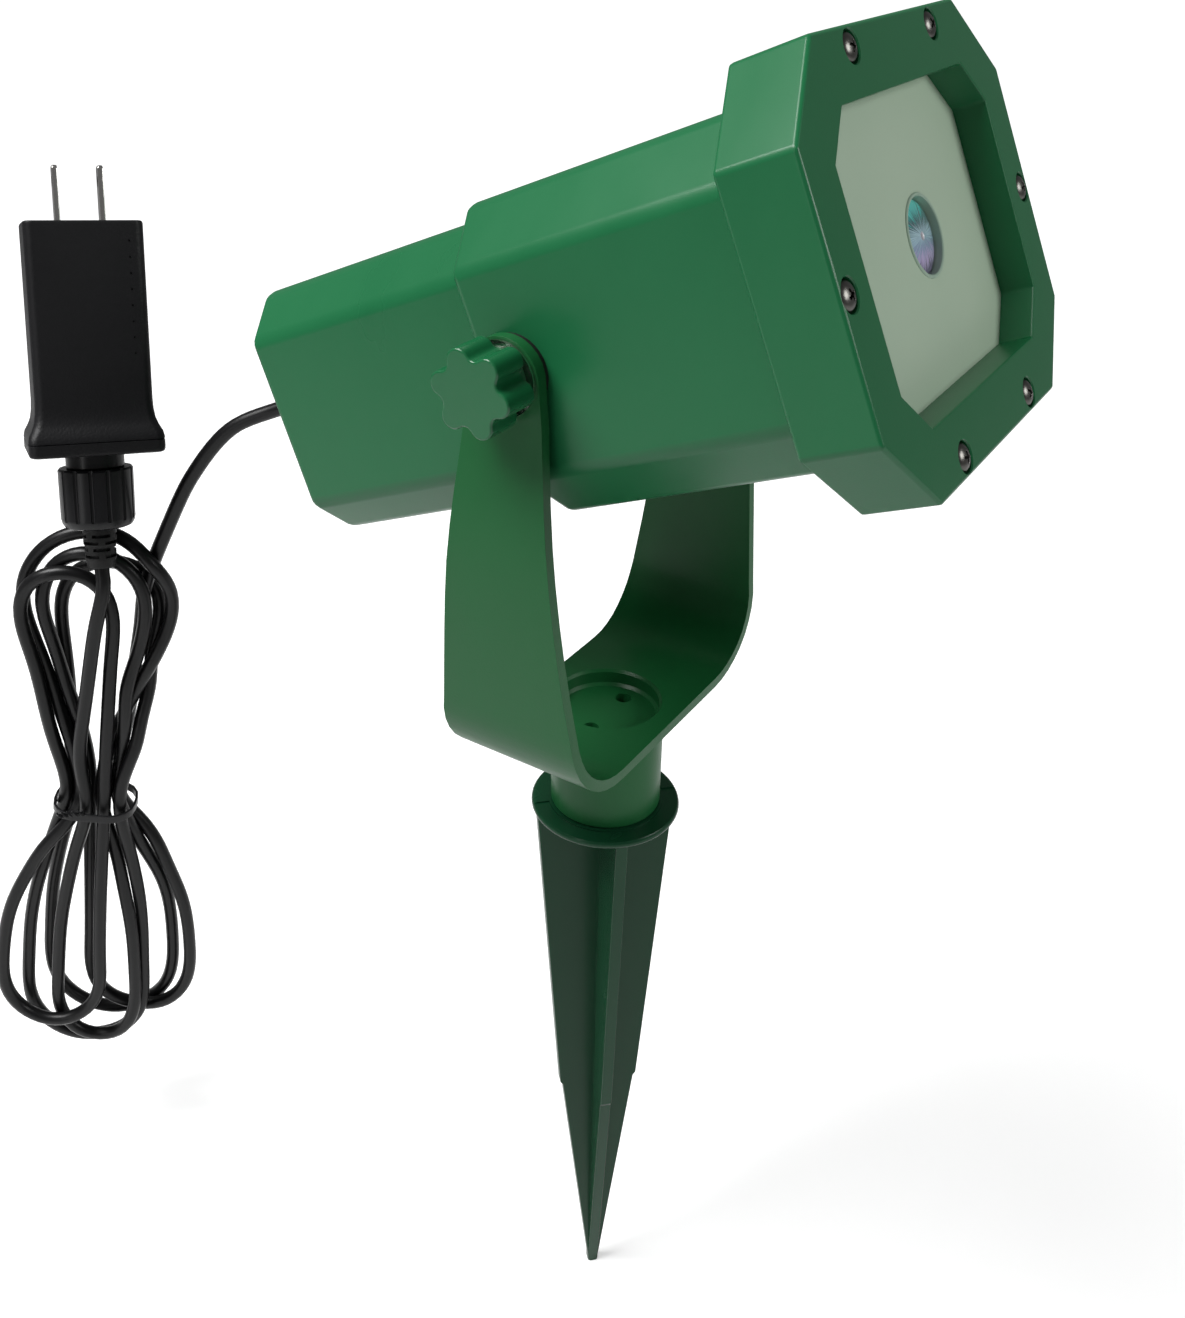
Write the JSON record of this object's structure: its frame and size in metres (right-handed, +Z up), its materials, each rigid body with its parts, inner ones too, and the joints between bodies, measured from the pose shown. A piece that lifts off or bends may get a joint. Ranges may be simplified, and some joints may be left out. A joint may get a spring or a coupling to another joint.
{
  "type": "light projector stake",
  "caption": "Garden laser light projector on a tilting yoke and ground spike, with a tied power cord and an outdoor plug adapter.",
  "frame": {"origin": "tip of the ground spike", "axes": "+Z up along the spike; the tilt axis is along X and the head looks toward -Y, tilted up 22.5 degrees at rest"},
  "size_m": [0.1405, 0.2999, 0.4015],
  "materials": {
    "green_satin": "satin moulded ABS",
    "green_gloss": "smooth moulded nylon",
    "green_yoke": "fine-textured moulded nylon",
    "screw_steel": "dark nickel plate",
    "pane": "satin back-painted pane",
    "lens_glass": "coated glass",
    "ring": "pale gloss ring",
    "black_rubber": "satin",
    "black_plastic": "fine grain",
    "board": "solder-mask board",
    "alloy": "plain",
    "brass": "turned",
    "steel": "plain",
    "disc": "clear embossed film on plastic"
  },
  "bodies": {
    "stake": {"ground_spike": "green_gloss"},
    "yoke": {"yoke_bracket": "green_yoke", "power_lead": "black_rubber", "cord_hank": "black_rubber", "cord_tie": "black_plastic", "plug_strain_relief": "black_rubber", "coupling_nut": "black_plastic", "adapter_socket": "black_plastic", "adapter_base": "black_plastic", "adapter_case": "black_plastic", "adapter_blades": "steel", "adapter_board": "board"},
    "head": {"front_housing": "green_satin", "rear_cover": "green_satin", "front_bezel": "green_satin", "bezel_screws": "screw_steel", "window_pane": "pane", "pane_gasket": "black_rubber", "lens_panel": "black_plastic", "projection_lens": "lens_glass", "lens_ring": "ring", "ir_receiver": "black_plastic", "optics_carrier": "alloy", "carrier_screws": "steel", "heat_sink": "alloy", "laser_green": "brass", "laser_red": "brass", "grating_motor": "steel", "control_board": "board", "board_parts": "black_plastic", "board_screws": "steel", "cable_gland": "black_plastic", "gland_nut": "black_plastic", "inner_lead": "black_rubber", "insert_left": "brass", "insert_right": "brass", "friction_washer_left": "black_rubber", "friction_washer_right": "black_rubber"},
    "grating": {"grating_disc": "disc", "grating_shaft": "steel"},
    "knob_left_travel": {"knob_washer_left": "steel"},
    "knob_left": {"knob_left": "green_satin", "knob_stud_left": "steel"},
    "knob_right_travel": {"knob_washer_right": "steel"},
    "knob_right": {"knob_right": "green_satin", "knob_stud_right": "steel"}
  },
  "joints": [
    {"name": "pan", "type": "hinge", "parent": "stake", "child": "yoke", "pos_m": [0, 0, 0.2], "axis": [0, 0, 1], "continuous": true},
    {"name": "tilt", "type": "hinge", "parent": "yoke", "child": "head", "pos_m": [0, 0, 0.33], "axis": [-1, 0, 0], "range_deg": [-50, 50], "deforming": ["power_lead"]},
    {"name": "grating_spin", "type": "hinge", "parent": "head", "child": "grating", "pos_m": [-0.0075, -0.04952, 0.35051], "axis": [0, -0.9239, 0.3827], "continuous": true},
    {"name": "knob_left_thread", "type": "slide", "parent": "head", "child": "knob_left_travel", "axis": [-1, 0, 0], "range_m": [0, 0.0016]},
    {"name": "knob_left_turn", "type": "hinge", "parent": "knob_left_travel", "child": "knob_left", "pos_m": [-0.05, 0, 0.33], "axis": [-1, 0, 0], "range_deg": [0, 720]},
    {"name": "knob_right_thread", "type": "slide", "parent": "head", "child": "knob_right_travel", "axis": [1, 0, 0], "range_m": [0, 0.0016]},
    {"name": "knob_right_turn", "type": "hinge", "parent": "knob_right_travel", "child": "knob_right", "pos_m": [0.05, 0, 0.33], "axis": [1, 0, 0], "range_deg": [0, 720]}
  ],
  "couplings": [
    {"joint": "knob_left_thread", "follows": "knob_left_turn", "m_per_rad": 0.00012732},
    {"joint": "knob_right_thread", "follows": "knob_right_turn", "m_per_rad": 0.00012732}
  ]
}
